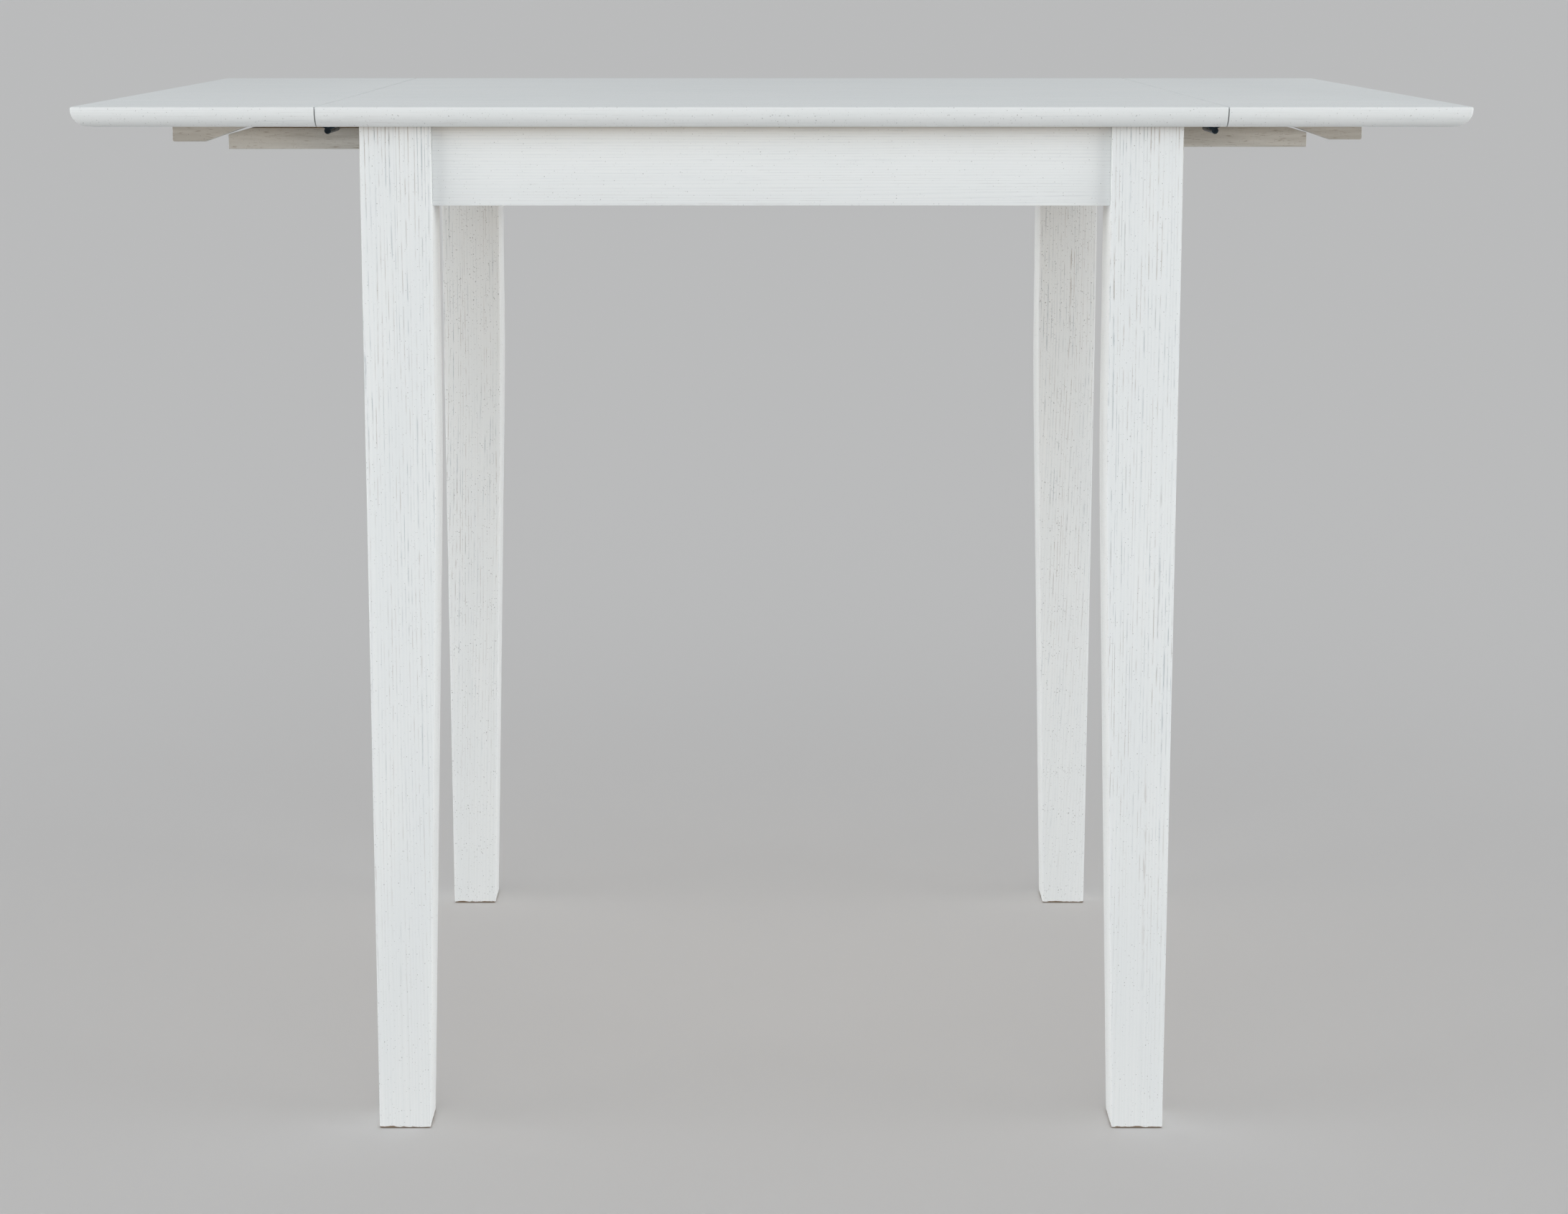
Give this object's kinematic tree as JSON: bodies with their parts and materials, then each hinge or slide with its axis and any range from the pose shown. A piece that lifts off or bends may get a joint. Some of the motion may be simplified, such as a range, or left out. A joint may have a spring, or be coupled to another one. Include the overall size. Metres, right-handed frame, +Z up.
{
  "type": "drop leaf table",
  "caption": "Counter-height drop leaf table in white brushed paint: tapered square legs, aprons, and hinged leaves held up by bars that slide out of the frame",
  "frame": {"origin": "on the floor, under the middle of the table", "axes": "+X to the right along the long side with both leaves up, +Y to the rear, +Z up"},
  "size_m": [1.22, 0.79, 0.94],
  "materials": {
    "board_paint": "brushed white paint over open grain, satin",
    "leg_paint": "brushed white paint over open grain, satin",
    "apron_paint": "brushed white paint over open grain, satin",
    "bar_paint": "thin off-white paint, matt",
    "bare_wood": "bare, sanded",
    "dark_steel": "blue-black lacquer",
    "zinc_steel": "zinc plated"
  },
  "bodies": {
    "frame": {"top_centre": "board_paint", "front_left_leg": "leg_paint", "front_right_leg": "leg_paint", "rear_left_leg": "leg_paint", "rear_right_leg": "leg_paint", "front_apron": "apron_paint", "rear_apron": "apron_paint", "left_apron": "apron_paint", "right_apron": "apron_paint", "apron_dowels": "bare_wood", "corner_braces": "bare_wood", "hanger_bolts": "zinc_steel", "bolt_washers": "zinc_steel", "bolt_nuts": "zinc_steel", "top_cleats": "bare_wood", "cleat_top_screws": "zinc_steel", "cleat_apron_screws": "zinc_steel", "channel_spacers": "bare_wood", "channel_rails": "bare_wood", "channel_floors": "bare_wood", "channel_screws": "zinc_steel", "left_hinge_fixed_plates": "dark_steel", "right_hinge_fixed_plates": "dark_steel", "left_hinge_pins": "dark_steel", "right_hinge_pins": "dark_steel", "centre_hinge_screws": "dark_steel"},
    "left_leaf": {"left_leaf": "board_paint", "front_left_wedge": "bar_paint", "rear_left_wedge": "bar_paint", "left_wedge_screws": "zinc_steel", "left_hinge_leaf_plates": "dark_steel", "left_hinge_screws": "dark_steel"},
    "right_leaf": {"right_leaf": "board_paint", "front_right_wedge": "bar_paint", "rear_right_wedge": "bar_paint", "right_wedge_screws": "zinc_steel", "right_hinge_leaf_plates": "dark_steel", "right_hinge_screws": "dark_steel"},
    "front_left_bar": {"front_left_bar": "bar_paint", "front_left_peg": "bare_wood"},
    "front_right_bar": {"front_right_bar": "bar_paint", "front_right_peg": "bare_wood"},
    "rear_left_bar": {"rear_left_bar": "bar_paint", "rear_left_peg": "bare_wood"},
    "rear_right_bar": {"rear_right_bar": "bar_paint", "rear_right_peg": "bare_wood"}
  },
  "joints": [
    {"name": "left_leaf_hinge", "type": "hinge", "parent": "frame", "child": "left_leaf", "pos_m": [-0.3975, 0, 0.9155], "axis": [0, -1, 0], "range_deg": [0, 90]},
    {"name": "right_leaf_hinge", "type": "hinge", "parent": "frame", "child": "right_leaf", "pos_m": [0.3975, 0, 0.9155], "axis": [0, 1, 0], "range_deg": [0, 90]},
    {"name": "front_left_bar_slide", "type": "slide", "parent": "frame", "child": "front_left_bar", "axis": [1, 0, 0], "range_m": [0, 0.38]},
    {"name": "front_right_bar_slide", "type": "slide", "parent": "frame", "child": "front_right_bar", "axis": [-1, 0, 0], "range_m": [0, 0.38]},
    {"name": "rear_left_bar_slide", "type": "slide", "parent": "frame", "child": "rear_left_bar", "axis": [1, 0, 0], "range_m": [0, 0.38]},
    {"name": "rear_right_bar_slide", "type": "slide", "parent": "frame", "child": "rear_right_bar", "axis": [-1, 0, 0], "range_m": [0, 0.38]}
  ],
  "couplings": [
    {"joint": "front_left_bar_slide", "follows": "left_leaf_hinge", "m_per_rad": 0.24192},
    {"joint": "front_right_bar_slide", "follows": "right_leaf_hinge", "m_per_rad": 0.24192},
    {"joint": "rear_left_bar_slide", "follows": "left_leaf_hinge", "m_per_rad": 0.24192},
    {"joint": "rear_right_bar_slide", "follows": "right_leaf_hinge", "m_per_rad": 0.24192}
  ]
}
